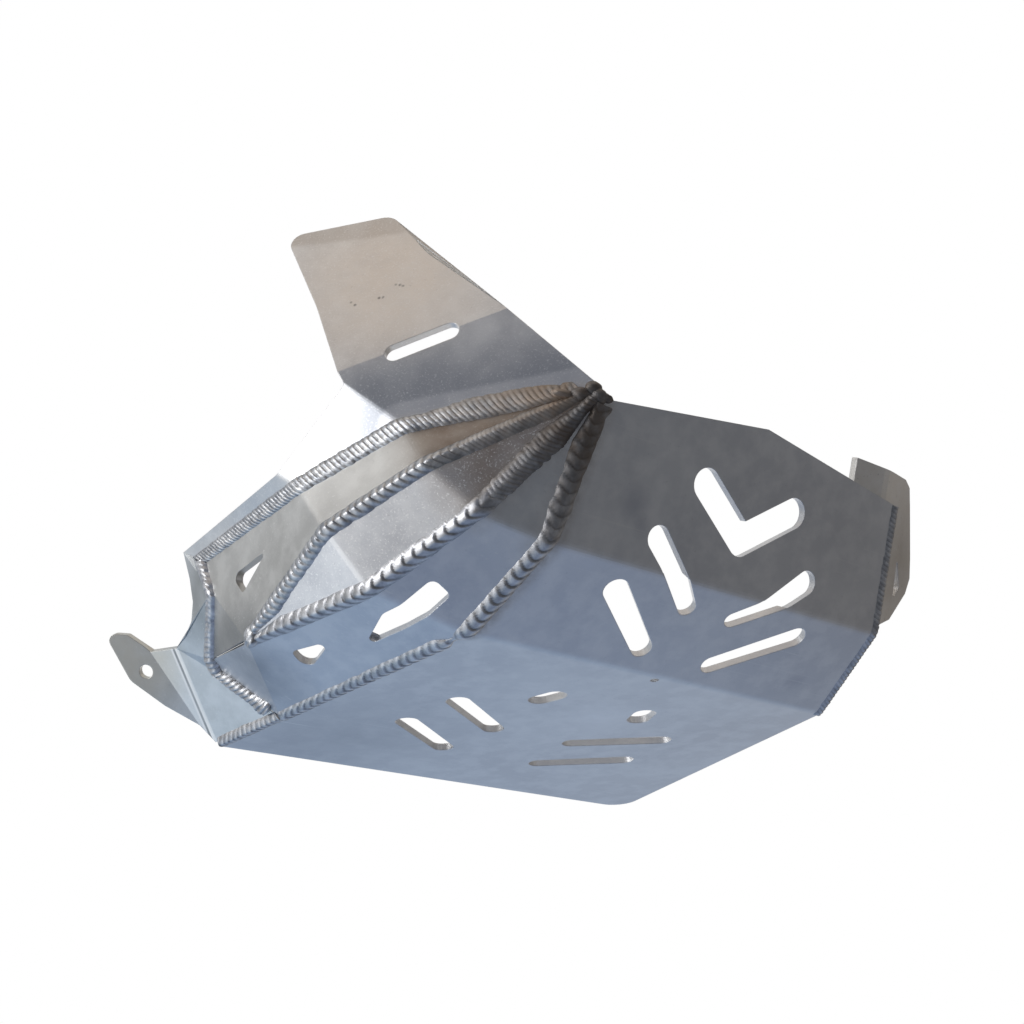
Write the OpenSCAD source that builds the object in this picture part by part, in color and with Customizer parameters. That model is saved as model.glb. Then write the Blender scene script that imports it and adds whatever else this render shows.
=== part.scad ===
// Welded skid plate for an off-road motorcycle: a folded belly pan with a
// pipe guard of welded strips on its left side. X is the rider's right,
// Y is forward, Z is up, and the outer face of the belly lies at Z = 0.
// Every corner below lies on the outer skin, before the plates are set back.

/* [Belly pan] */
// Thickness of the belly plate
belly_t = 4; // [3:0.5:6]
// Half width at the rear corners
rear_half = 102; // [90:1:110]
// Half width at the first fold
fold1_half = 110; // [100:1:120]
// Half width at the second fold
fold2_half = 119; // [110:1:130]
// Half width at the front edge
front_half = 148; // [135:1:165]
// How far the rear edge reaches back at the centre
rear_point = 14; // [0:1:25]
// Length of the rear panel, from its corners to the first fold
panel1_len = 68; // [60:1:80]
// Length of the middle panel, fold to fold
panel2_len = 60; // [50:1:75]
// Length of the front panel
panel3_len = 205; // [195:1:230]
// Rise of the middle panel above the rear one, in degrees
panel2_rise = 33; // [25:1:40]
// Rise of the front panel above the rear one, in degrees
panel3_rise = 60; // [52:1:68]
// Inside radius of every fold in the pan
bend_r = 6; // [3:0.5:9]
// Radius of the front right corner
front_corner_r = 14; // [4:1:25]

/* [Drain and mud slots] */
// Width of the slanted slots at their outer tips
slot_w = 13; // [8:0.5:15]
// Width of the slanted slots at their inner tips, four rows
slot_inner_w = [9.5, 11, 12, 12]; // [6:0.5:15]
// Inner tips of the slots from the centre line, four rows
slot_inner = [12, 19, 23, 29.5]; // [8:0.5:40]
// Inner tips of the slots, ahead of the rear corners, four rows
slot_inner_ahead = [86.5, 116.5, 239, 280]; // [80:0.5:290]
// Outer tips of the slots from the centre line, four rows
slot_outer = [55, 65.5, 76, 82]; // [45:0.5:90]
// Outer tips of the slots, ahead of the rear corners, four rows
slot_outer_ahead = [49, 80, 203.5, 244]; // [42:0.5:250]
// Width of the arms of the rear chevron
chevron_w = 16; // [10:0.5:20]
// Front tip of the chevron, ahead of the rear corners
chevron_at = 50.5; // [44:0.5:58]
// Outer tip of each arm: from the centre line, ahead of the rear corners
chevron_end = [35.5, 16]; // [10:0.5:40]
// Distance of each oval bolt hole from the centre line
oval_x = 32.5; // [24:0.5:40]
// Oval bolt holes, ahead of the rear corners
oval_ahead = 180; // [160:1:200]
// Width of an oval bolt hole
oval_w = 13; // [9:0.5:16]
// Length of an oval bolt hole
oval_len = 22; // [17:0.5:30]
// Turn of an oval bolt hole from the fore and aft line, in degrees
oval_turn = 20; // [0:1:40]
// Diameter of the small centre drain hole
drain_d = 4.5; // [3:0.5:8]

/* [Pipe guard] */
// Thickness of the guard strips
guard_t = 4; // [2.5:0.5:4.5]
// Lower strip edge from the pan at the first fold: out, forward, up
lower_1 = [32, -4.5, 13]; // [-30:0.5:60]
// Middle strip across, at the first fold: out, forward, up
middle_1 = [20, -14.5, 21]; // [-30:0.5:60]
// Upper strip across, at the first fold: out, forward, up
upper_1 = [3, -15.5, 24.5]; // [-30:0.5:60]
// Wing across, at the first fold: out, forward, up
wing_1 = [19, -13.5, 32]; // [-30:0.5:60]
// Lower strip edge from the pan at the second fold: out, forward, up
lower_2 = [45.5, -8, 18]; // [-30:0.5:60]
// Middle strip across, at the second fold: out, forward, up
middle_2 = [20, -21.5, 19]; // [-30:0.5:60]
// Upper strip across, at the second fold: out, forward, up
upper_2 = [4.5, -16.5, 31.5]; // [-30:0.5:60]
// Wing across, at the second fold: out, forward, up
wing_2 = [6.5, -3.5, 12.5]; // [-30:0.5:60]
// Run of the lower seam from the second fold to its tip: out, forward, up
lower_run = [18, 41.5, 76.5]; // [-30:0.5:110]
// Run of the wing seam from the second fold to its end: out, forward, up
wing_run = [3, 49, 93.5]; // [-30:0.5:120]
// Width of the wing at its front end: out, forward, up
wing_3 = [5, -1, 13.5]; // [-30:0.5:40]
/* [Front end plate] */
// Where the end plate meets the pan's left edge, along the front panel
end_along = 145; // [120:1:165]
// Crease of the end plate from the front corner: out, forward, up
crease_a = [35.5, -48, 6.5]; // [-60:0.5:60]
// Upper end of the tab's crease from the front corner: out, forward, up
crease_b = [43.5, -41.5, 22.5]; // [-60:0.5:60]
// Lower end of the tab's crease from the front corner: out, forward, up
crease_c = [10.5, -8.5, 6.5]; // [-60:0.5:60]
// Depth of the hollow in the free edge that clears the pipe
pipe_hollow = 17; // [5:0.5:22]
// How far the bolt tab stands out from its crease
tab_out = 20; // [17:0.5:28]
// Bend of the tab outward from the end plate, in degrees
tab_bend = 19; // [5:1:35]
// Diameter of the bolt hole in the tab
tab_hole_d = 8; // [5:0.5:9]

/* [Right bracket] */
// Thickness of the right bracket
bracket_t = 4; // [3:0.5:5]
// Slope of its outer leg, in degrees
bracket_rise = 20; // [10:1:28]
// How far its outer leg stands out past the pan
bracket_out = 46; // [40:1:55]
// How far its inner leg reaches over the pan
bracket_in = 31; // [20:1:40]
// How far it stands out behind the pan
bracket_back = 18; // [10:1:24]
// Width of the curved run between its two legs
bracket_bend = 9; // [4:0.5:14]

/* [Tongue] */
// Bend line of the tongue at its rear edge: along the wing seam, above it
tongue_heel = [39.5, 56]; // [30:0.5:60]
// Bend line of the tongue at its front edge: along the wing seam, above it
tongue_hip = [123.5, 36]; // [33:0.5:130]
// Shoulder on the tongue's rear edge: along the wing seam, above it
tongue_shoulder = [79, 103.5]; // [70:0.5:112]
// Rear top corner of the tongue: along the wing seam, above it
tongue_rear = [98, 136]; // [92:0.5:145]
// Front top corner of the tongue: along the wing seam, above it
tongue_front = [156.5, 136.5]; // [125:0.5:165]
// Bend across the tongue, in degrees
tongue_bend = 7; // [0:1:20]
// Front end of the strap slot: along the wing seam, above it
strap_front = [100, 40.5]; // [34:0.5:106]
// Rear end of the strap slot: along the wing seam, above it
strap_rear = [63.5, 50]; // [42:0.5:72]
// Width of the strap slot
strap_w = 9.5; // [6:0.5:12]

/* [Welds] */
// Distance from the corner to each toe of a weld
weld_leg = 5; // [3:0.5:7]
// Distance from the corner to each toe of the weld at the end plate's inner edge
end_leg = 3.4; // [2.5:0.1:5]
// Height of a weld above the corner
weld_h = 1.6; // [0.8:0.1:3]
// Length of one ripple of the seams along the pan and the middle strip
ripple = 6; // [4:0.5:10]
// Length of one ripple of the wing seam
fine_ripple = 5; // [3:0.5:8]

/* [Hidden] */
$fn = 32;
big = 400;
arc_steps = 4;
bead_arc = 3;
outer_r = bend_r + belly_t;
root_gap = 0.4 * guard_t;
weld_seat = 0.15;
wide_gap = 0.56 * guard_t;

function unit(v) = v / norm(v);
function mix(a, b, f) = a + (b - a) * f;
function pull(p, q, d) = p + unit(q - p) * d;
function add(v, i = 0) = i >= len(v) ? [0, 0, 0] : v[i] + add(v, i + 1);
function flat(v) = [for (a = v) for (b = a) b];
function flip(v) = [for (i = [len(v) - 1:-1:0]) v[i]];

// A step away from the bike's left side: out, forward, up
function step(v) = [-v[0], v[1], v[2]];

// Axes of the three panels of the pan, and where each one starts
panel_rise = [0, panel2_rise, panel3_rise];
panel_from = [0, panel1_len, panel1_len + panel2_len, panel1_len + panel2_len + panel3_len];
panel_half = [rear_half, fold1_half, fold2_half, front_half];
function ahead(k) = [0, cos(panel_rise[k]), sin(panel_rise[k])];
function panel_foot(k) = k == 0 ? [0, 0, 0]
    : panel_foot(k - 1) + ahead(k - 1) * (panel_from[k] - panel_from[k - 1]);
function pan_at(x, s, k) = panel_foot(k) + ahead(k) * (s - panel_from[k]) + [x, 0, 0];
function half_at(s, k) = panel_half[k] + (panel_half[k + 1] - panel_half[k])
    * (s - panel_from[k]) / (panel_from[k + 1] - panel_from[k]);

// Corner points of the guard, seam by seam, from the rear corner to the front
corner = [-rear_half, 0, 0];
fold1 = pan_at(-fold1_half, panel_from[1], 0);
fold2 = pan_at(-fold2_half, panel_from[2], 1);
front = pan_at(-front_half, panel_from[3], 2);
end_foot = mix(fold2, front, end_along / panel3_len);
lower1 = fold1 + step(lower_1);
middle1 = lower1 + step(middle_1);
upper1 = middle1 + step(upper_1);
wing1 = upper1 + step(wing_1);
lower2 = fold2 + step(lower_2);
middle2 = lower2 + step(middle_2);
upper2 = middle2 + step(upper_2);
wing2 = upper2 + step(wing_2);
tip = lower2 + step(lower_run);
wing_end = upper2 + step(wing_run);
wing_tip = wing_end + step(wing_3);
end_mid = mix(wing_end, tip, 0.32) + [0, 4, 1];
crease_top = front + step(crease_a);
end_low = mix(crease_top, tip, 0.5) + [11, 10, 20];
end_knee = mix(end_low, end_foot, 0.2) + [0, 3, 8];

// Frame of the lower tongue, along the wing seam and up from it
tongue_foot = corner + [-1, -1.4, 0.4];
tongue_x = unit(upper1 - tongue_foot);
tongue_in = unit(cross(tongue_x, wing1 - upper1));
tongue_y = cross(tongue_in, tongue_x);
function tongue_at(p) = tongue_foot + tongue_x * p[0] + tongue_y * p[1];

// Rear ends of the seams, fanned out around the corner of the pan
nose = [corner, corner + [-2, -1, 1], corner + [-4, -2, 3], tongue_at([5, 3])];

// Round a fold in a seam: the sharp corner becomes a short curve
function soften(a, b, c, run) =
    let (p = pull(b, a, run), q = pull(b, c, run))
    [for (i = [0:arc_steps]) let (f = i / arc_steps) mix(mix(p, b, f), mix(b, q, f), f)];
run1 = outer_r * tan(panel2_rise / 2);
run2 = outer_r * tan((panel3_rise - panel2_rise) / 2);
function seam(a, b, c, d) = concat([mix(a, b, 0.045)], soften(a, b, c, run1),
    soften(b, c, d, run2), [d]);
seam_belly = seam(nose[0], fold1, fold2, end_foot);
seam_lower = seam(nose[1], lower1, lower2, tip);
seam_upper = seam(nose[2], middle1, middle2, tip);
seam_wing = seam(nose[3], upper1, upper2, wing_end);
edge_wing = concat([tongue_at(tongue_heel)], soften(tongue_at(tongue_hip), wing1, wing2, run1),
    soften(wing1, wing2, wing_tip, run2), [wing_tip]);

// Closed sheet of one thickness under a mesh of facets seen from outside.
// Each inner corner lies one thickness inside all the facets that meet there.
function facet_normal(pts, f) = unit(add([for (i = [0:len(f) - 1])
    cross(pts[f[i]] - pts[f[0]], pts[f[(i + 1) % len(f)]] - pts[f[0]])]));
function has(f, a) = len([for (k = f) if (k == a) 1]) > 0;
function has_edge(f, a, b) = len([for (i = [0:len(f) - 1])
    if (f[i] == a && f[(i + 1) % len(f)] == b) 1]) > 0;
function inset(pts, facets, normals, i, t) =
    let (n = [for (k = [0:len(facets) - 1]) if (has(facets[k], i)) normals[k]], s = add(n))
    pts[i] - s * t * len(n) / (s * s);
function fan(f) = [for (i = [1:len(f) - 2]) [f[0], f[i], f[i + 1]]];

module sheet(pts, facets, t) {
    n = len(pts);
    normals = [for (f = facets) facet_normal(pts, f)];
    inner = [for (i = [0:n - 1]) inset(pts, facets, normals, i, t)];
    outline = [for (f = facets) for (i = [0:len(f) - 1])
        let (a = f[i], b = f[(i + 1) % len(f)])
        if (len([for (g = facets) if (has_edge(g, b, a)) 1]) == 0) [a, b]];
    polyhedron(points = concat(pts, inner), faces = concat(
        flat([for (e = outline) [[e[1], e[1] + n, e[0]], [e[1] + n, e[0] + n, e[0]]]]),
        [for (f = facets) for (g = fan(f)) flip(g)],
        [for (f = facets) for (g = fan(f)) [for (k = g) k + n]]));
}

// Two edges of a strip, both set back under their welds, woven into one list
function weave(a, b, back_a, back_b) = flat([for (i = [0:len(a) - 1])
    [pull(a[i], b[i], back_a), pull(b[i], a[i], back_b)]]);
// Facets of such a strip, row by row
function quads(rows, from = 0) = [for (i = [from:rows - 2]) [2 * i, 2 * i + 1, 2 * i + 3, 2 * i + 2]];

// Outline with rounded corners, from points of the form [x, y, radius]
function arc_at(p, a, b, r) =
    let (u = unit(a - p), v = unit(b - p), half = acos(u * v) / 2,
        c = p + unit(u + v) * r / sin(half), s = c + (p + u * r / tan(half) - c),
        from = atan2(s[1] - c[1], s[0] - c[0]), e = p + v * r / tan(half),
        turn = atan2(e[1] - c[1], e[0] - c[0]) - from,
        sweep = turn > 180 ? turn - 360 : turn < -180 ? turn + 360 : turn)
    [for (i = [0:6]) c + r * [cos(from + sweep * i / 6), sin(from + sweep * i / 6)]];
function rounded(v) = flat([for (i = [0:len(v) - 1])
    let (n = len(v), q = v[i], p = [q[0], q[1]],
        a = [v[(i + n - 1) % n][0], v[(i + n - 1) % n][1]],
        b = [v[(i + 1) % n][0], v[(i + 1) % n][1]])
    q[2] > 0 ? arc_at(p, a, b, q[2]) : [p]]);

// Stand a flat shape on a plane: origin, first axis, and a point on the second side
module on_plane(o, along, side) {
    u = unit(along - o);
    n = unit(cross(u, side - o));
    v = cross(n, u);
    multmatrix([[u[0], v[0], n[0], o[0]], [u[1], v[1], n[1], o[1]],
        [u[2], v[2], n[2], o[2]], [0, 0, 0, 1]]) children();
}

// Put a shape on one panel of the pan: x across, y along from the rear corners
module on_panel(k)
    translate(panel_foot(k)) rotate([panel_rise[k], 0, 0]) translate([0, -panel_from[k], 0])
        children();

// Round-ended slot of one width between two points
module slot_shape(a, b, w) {
    reach = norm(b - a);
    translate(a) rotate(atan2(b[1] - a[1], b[0] - a[0])) {
        circle(d = w);
        translate([reach, 0]) circle(d = w);
        translate([0, -w / 2]) square([reach, w]);
    }
}

// Round-ended slot between its two tips, from one width at the first to another at the second
module tip_slot(a, b, w, w2) {
    reach = norm(b - a);
    translate(a) rotate(atan2(b[1] - a[1], b[0] - a[0])) {
        translate([w / 2, 0]) circle(d = w);
        translate([reach - w2 / 2, 0]) circle(d = w2);
        polygon([[w / 2, -w / 2], [reach - w2 / 2, -w2 / 2], [reach - w2 / 2, w2 / 2], [w / 2, w / 2]]);
    }
}

module slanted_slot(side, row)
    tip_slot([side * slot_inner[row], slot_inner_ahead[row]],
        [side * slot_outer[row], slot_outer_ahead[row]], slot_inner_w[row], slot_w);

module chevron()
    for (side = [-1, 1])
        slot_shape([0, chevron_at - chevron_w / 2], [side * (chevron_end[0] - chevron_w * 0.36),
            chevron_end[1] + chevron_w * 0.35], chevron_w);

module oval(side)
    translate([side * oval_x, oval_ahead]) rotate(side * -oval_turn)
        slot_shape([0, -(oval_len - oval_w) / 2], [0, (oval_len - oval_w) / 2], oval_w);

// Section of the pan along Y and Z, one line for each face
function foot2(k) = [panel_foot(k)[1], panel_foot(k)[2]];
function fold2d(k, z) = let (turn = panel_rise[k] - panel_rise[k - 1], m = panel_rise[k - 1] + turn / 2)
    foot2(k) + [-sin(m), cos(m)] * z / cos(turn / 2);
function section_line(z, r) =
    let (rear = [-rear_point - 20, z], c1 = fold2d(1, z), c2 = fold2d(2, z),
        end = foot2(2) + [-sin(panel3_rise), cos(panel3_rise)] * z
            + [cos(panel3_rise), sin(panel3_rise)] * panel3_len)
    concat([rear], soften(rear, c1, c2, r * tan(panel2_rise / 2)),
        soften(c1, c2, end, r * tan((panel3_rise - panel2_rise) / 2)), [end]);

// Outline of the pan from above
function from_above(v, k) = [for (p = v) [p[0], pan_at(0, p[1], k)[1]]];
module pan_outline() {
    gap = root_gap;
    polygon(concat([[-rear_half + gap, 0], [0, -rear_point], [rear_half, 0]],
        from_above([[fold1_half, panel_from[1]]], 0),
        from_above([[fold2_half, panel_from[2]]], 1),
        from_above(arc_at([front_half, panel_from[3]], [fold2_half, panel_from[2]],
            [0, panel_from[3]], front_corner_r), 2),
        from_above([[-front_half + gap, panel_from[3]], [-fold2_half + gap, panel_from[2]]], 2),
        from_above([[-fold1_half + gap, panel_from[1]]], 1)));
}

module belly_pan() color([0.55, 0.6, 0.68]) difference() {
    intersection() {
        rotate([90, 0, 90]) translate([0, 0, -big / 2]) linear_extrude(big)
            polygon(concat(section_line(0, outer_r), flip(section_line(belly_t, bend_r))));
        translate([0, 0, -belly_t]) linear_extrude(big) pan_outline();
    }
    on_panel(0) translate([0, 0, -belly_t]) linear_extrude(3 * belly_t) {
        chevron();
        for (side = [-1, 1]) intersection() {
            slanted_slot(side, 0);
            translate([-big / 2, panel1_len - big]) square(big);
        }
    }
    on_panel(1) translate([0, 0, -belly_t]) linear_extrude(3 * belly_t)
        for (side = [-1, 1]) {
            intersection() {
                slanted_slot(side, 0);
                translate([-big / 2, panel1_len]) square(big);
            }
            slanted_slot(side, 1);
        }
    on_panel(2) translate([0, 0, -belly_t]) linear_extrude(3 * belly_t) {
        for (side = [-1, 1]) {
            for (row = [2, 3]) slanted_slot(side, row);
            oval(side);
        }
        translate([0, panel_from[2] + drain_d]) circle(d = drain_d);
    }
}

// Mitre inside the corner where the lower and upper strips meet, from the tip to the end plate
low_face = unit(cross(tip - end_foot, end_low - tip));
high_face = unit(cross(end_mid - tip, end_low - tip));
module mitre(side) on_plane(tip, end_low, tip - low_face - high_face)
    translate([-5, -1, side > 0 ? -0.1 : 0.1 - 3 * guard_t])
        cube([norm(end_low - tip) + 10, 3 * guard_t, 3 * guard_t]);

// Lower strip of the guard, folded up once more at its front end
module guard_lower_strip() color([0.5, 0.57, 0.66]) difference() {
    rows = len(seam_lower);
    last = 2 * rows;
    sheet(concat(weave(seam_belly, seam_lower, root_gap, root_gap),
        [pull(end_knee, tip, 0.2), pull(end_low, tip, 0.2)]),
        concat(quads(rows), [[last - 2, last - 1, last + 1, last]]), guard_t);
    // Long lightening hole across the second fold, and a small one near the tip
    on_plane(fold2, lower2, fold2 + unit(end_foot - fold2) - unit(fold1 - fold2))
        translate([0, 0, -3 * guard_t]) linear_extrude(6 * guard_t)
            polygon(rounded([[36.5, 42, 2], [38, 12, 10], [26, -18.5, 4], [15, -14.5, 3], [25, 15, 0]]));
    mitre(-1);
    on_plane(fold2, end_foot, lower2) translate([0, 0, -2 * guard_t]) linear_extrude(4 * guard_t)
        polygon(rounded([[92, 35, 4], [97, 19.5, 5], [65, 30, 2.5]]));
}

// Middle strip, which runs out to a point where the lower and upper strips meet
module guard_middle_strip() color([0.78, 0.79, 0.81]) {
    rows = len(seam_lower);
    a = [for (i = [0:rows - 1]) i == rows - 1 ? mix(seam_lower[rows - 2], tip, 0.9) : seam_lower[i]];
    b = [for (i = [0:rows - 1]) i == rows - 1 ? mix(seam_upper[rows - 2], tip, 0.9) : seam_upper[i]];
    sheet(weave(a, b, root_gap, root_gap), quads(rows), guard_t);
}

// Upper strip, widest at the front, with a rounded three-sided hole
module guard_upper_strip() color([0.66, 0.65, 0.62]) difference() {
    rows = len(seam_upper);
    last = 2 * rows;
    sheet(concat(weave(seam_upper, seam_wing, root_gap, 0),
        [pull(end_low, upper2, 0.2), pull(end_mid, upper2, 0.2)]),
        concat(quads(rows - 1), [[last - 4, last - 3, last - 1, last + 1, last - 2],
            [last - 2, last + 1, last]]), guard_t);
    mitre(1);
    on_plane(middle2, tip, upper2) translate([0, 0, -2 * guard_t])
        linear_extrude(4 * guard_t) polygon(rounded([[46.5, 26.8, 1.3], [82, 38.5, 3.5], [77, 23.5, 3]]));
}

// Wing: the outer lip of the guard, and the tall tongue with its strap slot
function tongue_upper(p) =
    let (e = unit(tongue_hip - tongue_heel), f = [-e[1], e[0]], q = p - tongue_heel, d = q * f)
    tongue_at(tongue_heel + e * (q * e) + f * d * cos(tongue_bend)) + tongue_in * d * sin(tongue_bend);
module guard_wing() color([0.7, 0.67, 0.63]) difference() {
    rows = len(seam_wing);
    lip = 2 * rows;
    waist = mix(tongue_hip, tongue_front, 0.45) + [-1.7, 0.5];
    top = rounded([[tongue_heel[0], tongue_heel[1], 0], [tongue_shoulder[0], tongue_shoulder[1], 30],
        [tongue_rear[0], tongue_rear[1], 10], [tongue_front[0], tongue_front[1], 7],
        [waist[0], waist[1], 0]]);
    upper = [for (i = [1:len(top) - 1]) tongue_upper(top[i])];
    sheet(concat(weave(seam_wing, edge_wing, 0, 0), [tongue_at(tongue_hip)], upper, [tongue_at([0, 5])]),
        concat([[0, lip + len(upper) + 1, 1, lip, 3, 2]], quads(rows, 1),
            [concat([1], [for (i = [1:len(upper)]) lip + i], [lip])]), guard_t);
    on_plane(tongue_foot, upper1, upper1 + tongue_y) translate([0, 0, -3 * guard_t])
        linear_extrude(6 * guard_t) tip_slot(strap_front, strap_rear, strap_w, strap_w);
}

// End plate: closes the guard at the front and folds over into the bolt tab
tab_x = unit(step(crease_c) - step(crease_b));
tab_base = front + step(crease_b);
end_out = unit(cross(tab_base - front, front - crease_top));
tab_y = cross(tab_x, end_out) * cos(tab_bend) + end_out * sin(tab_bend);
function tab_at(p) = tab_base + tab_x * p[0] + tab_y * p[1];
module front_end_plate() color([0.68, 0.74, 0.8]) difference() {
    bow = [for (f = [0.2, 0.4, 0.6, 0.8]) mix(wing_tip, crease_top, f)
        + [2.5, 3, -pipe_hollow] * sin(180 * f)];
    reach = norm(step(crease_c) - step(crease_b));
    tab = rounded([[-5, 1.6, 0], [0, 0, 0], [reach, 0, 0], [0.6 * reach, 0.55 * tab_out, 10],
        [0.15 * reach, tab_out, 10], [-0.46 * reach, 0.86 * tab_out, 4], [-0.3 * reach, 0.3 * tab_out, 3]]);
    pts = concat([pull(end_foot, crease_top, wide_gap), pull(front, crease_top, wide_gap), crease_top,
        end_low, end_knee, wing_tip, wing_end, end_mid], bow,
        [for (i = [1:len(tab)]) tab_at(tab[i % len(tab)])]);
    n = len(pts);
    sheet(pts, [[4, 3, 2, 1, 0], [7, 10, 11, 2, 3], [7, 6, 5, 8, 9, 10], [12, 13, 1, 2],
        concat([12], [for (i = [n - 1:-1:13]) i])], guard_t);
    on_plane(tab_base, tab_base + tab_x, tab_base + tab_y)
        translate([0.16 * reach, 0.45 * tab_out, -2 * guard_t]) cylinder(h = 4 * guard_t, d = tab_hole_d);
}

// Right bracket: lies on the inside of the pan and rises past its right edge
fold_in = tan(panel2_rise / 2);
function bracket_up(d) = tan(bracket_rise) * (d < -bracket_bend ? 0
    : d < 0 ? (d + bracket_bend) * (d + bracket_bend) / bracket_bend / 2 : bracket_bend / 2 + d);
function lap(d, s, k, up) = pan_at(half_at(s, k) + d, s, k)
    + [0, -sin(panel_rise[k]), cos(panel_rise[k])] * (belly_t + up);
function lap_fold(d, up, e) =
    let (p = lap(d, panel1_len - 5, 0, up), q = lap(d, panel1_len + 5, 1, up),
        c = pan_at(fold1_half + d, panel1_len, 0) + [0, -fold_in, 1] * (belly_t + up))
    [for (i = [0:arc_steps]) let (f = i / arc_steps) mix(mix(p, c, f), mix(c, q, f), f)];
module right_bracket() color([0.45, 0.42, 0.39]) difference() {
    d = [-bracket_in, -bracket_bend, -bracket_bend / 2, 0];
    cols = len(d) + 1;
    reach = bracket_out / 46;
    line = [for (i = [0:cols - 1]) let (a = i < 4 ? d[i] : 5, b = i < 4 ? d[i] : 12)
        concat([lap(a, -bracket_back, 0, bracket_up(a))], lap_fold(b, bracket_up(b), 0),
            [lap(i < 4 ? d[i] : 4.5, panel_from[2] - 6, 1, 0.1 * bracket_up(a))])];
    rows = len(line[0]);
    rim = [for (p = [[18, -bracket_back], [25, 3 - bracket_back], [30, -5], [42, 21], [46, 32],
        [43, 41], [26, 58]]) lap(p[0] * reach, p[1], 0, bracket_up(p[0] * reach))];
    sheet(concat([for (j = [0:rows - 1]) for (i = [0:cols - 1]) line[i][j]], rim),
        concat([for (j = [0:rows - 2]) for (i = [0:cols - 2])
            [j * cols + i, (j + 1) * cols + i, (j + 1) * cols + i + 1, j * cols + i + 1]],
            [concat([cols - 1, 2 * cols - 1], [for (i = [len(rim) - 1:-1:0]) rows * cols + i])]),
        bracket_t);
    on_plane(lap(0, 0, 0, bracket_up(0)), lap(0, 40, 0, bracket_up(0)), lap(20, 0, 0, bracket_up(20)))
        translate([0, 0, -2 * bracket_t]) linear_extrude(4 * bracket_t)
            polygon(rounded([[26, 24, 1], [44, 35, 2], [50, 27, 2]]));
}

// Weld: stations along a seam, two to each ripple, every second one higher.
// Its underside follows the two plates and fills the root between their edges.
function along_seam(v, i, f) = mix(v[i], v[i + 1], f);
function turn_at(v, i) = unit(v[min(i + 1, len(v) - 1)] - v[max(i - 1, 0)]);
module bead(seam, left, right, pitch, leg, crown, inside_corner = false) {
    station = [for (i = [0:len(seam) - 2])
        let (n = max(1, round(norm(seam[i + 1] - seam[i]) / pitch * 2)), last = i == len(seam) - 2)
        for (k = [0:last ? n : n - 1]) [i, k / n]];
    ring = [for (k = [0:len(station) - 1])
        let (i = station[k][0], f = station[k][1], c = along_seam(seam, i, f),
            l = along_seam(left, i, f) - c, r = along_seam(right, i, f) - c,
            high = k % 2, size = leg * (0.86 + 0.14 * high),
            wl = min(size, 0.46 * norm(l)), wr = min(size, 0.46 * norm(r)),
            t = unit(mix(turn_at(seam, i), turn_at(seam, i + 1), f)),
            up = unit(unit(cross(t, l)) + unit(cross(r, t))),
            a = c + unit(l) * wl + up * weld_seat, b = c + unit(r) * wr + up * weld_seat,
            rise = (inside_corner ? 0 : (c - mix(a, b, 0.5)) * up)
                + crown * (0.6 + 0.4 * high) * (wl + wr) / 2 / leg,
            gap = min(root_gap, 0.6 * wl, 0.6 * wr))
        concat([for (j = [0:bead_arc]) mix(a, b, (1 - cos(180 * j / bead_arc)) / 2)
                + up * rise * sin(180 * j / bead_arc)],
            inside_corner ? [c + up * weld_seat]
                : [c + unit(r) * gap, c - up * gap * 1.4, c + unit(l) * gap])];
    skin(ring);
}
// Solid through a row of closed rings
module skin(ring) {
    m = len(ring[0]);
    n = len(ring);
    polyhedron(points = flat(ring), faces = concat(
        [for (k = [0:n - 2]) for (j = [0:m - 1]) each
            let (p = k * m + j, q = k * m + (j + 1) % m) [[p, p + m, q], [q, p + m, q + m]]],
        [[for (j = [0:m - 1]) j], [for (j = [m - 1:-1:0]) (n - 1) * m + j]]));
}
// Drop the last of a seam where two seams run out into one point
function trimmed(v, f) = [for (i = [0:len(v) - 1]) i == len(v) - 1 ? mix(v[i - 1], v[i], f) : v[i]];

weld_color = [0.62, 0.62, 0.64];
module belly_seam_weld() color(weld_color)
    bead(seam_belly, [for (p = seam_belly) p + [20, 0, 0]], seam_lower, ripple, weld_leg, weld_h);
module lower_seam_weld() color(weld_color)
    bead(trimmed(seam_lower, 0.95), trimmed(seam_belly, 0.95), trimmed(seam_upper, 0.95),
        ripple, weld_leg, weld_h);
module upper_seam_weld() color(weld_color)
    bead(trimmed(seam_upper, 0.95), trimmed(seam_lower, 0.95), trimmed(seam_wing, 0.95),
        ripple, weld_leg, weld_h);
module wing_seam_weld() color(weld_color)
    bead(seam_wing, seam_upper, edge_wing, fine_ripple, weld_leg, weld_h, true);
module end_plate_weld() color(weld_color)
    bead([mix(end_foot, front, 0.1), front], [end_foot + [20, 0, 0], front + [20, 0, 0]],
        [mix(end_low, crease_top, 0.1), crease_top], ripple, weld_leg, weld_h);
module end_seam_weld() color(weld_color)
    bead([end_foot, end_knee, end_low, end_mid, mix(end_mid, wing_end, 0.85)],
        [front, crease_top, crease_top, crease_top, wing_tip],
        [mix(end_foot, tip, 0.3), tip, tip, tip, upper2], ripple, end_leg, weld_h, true);

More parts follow.
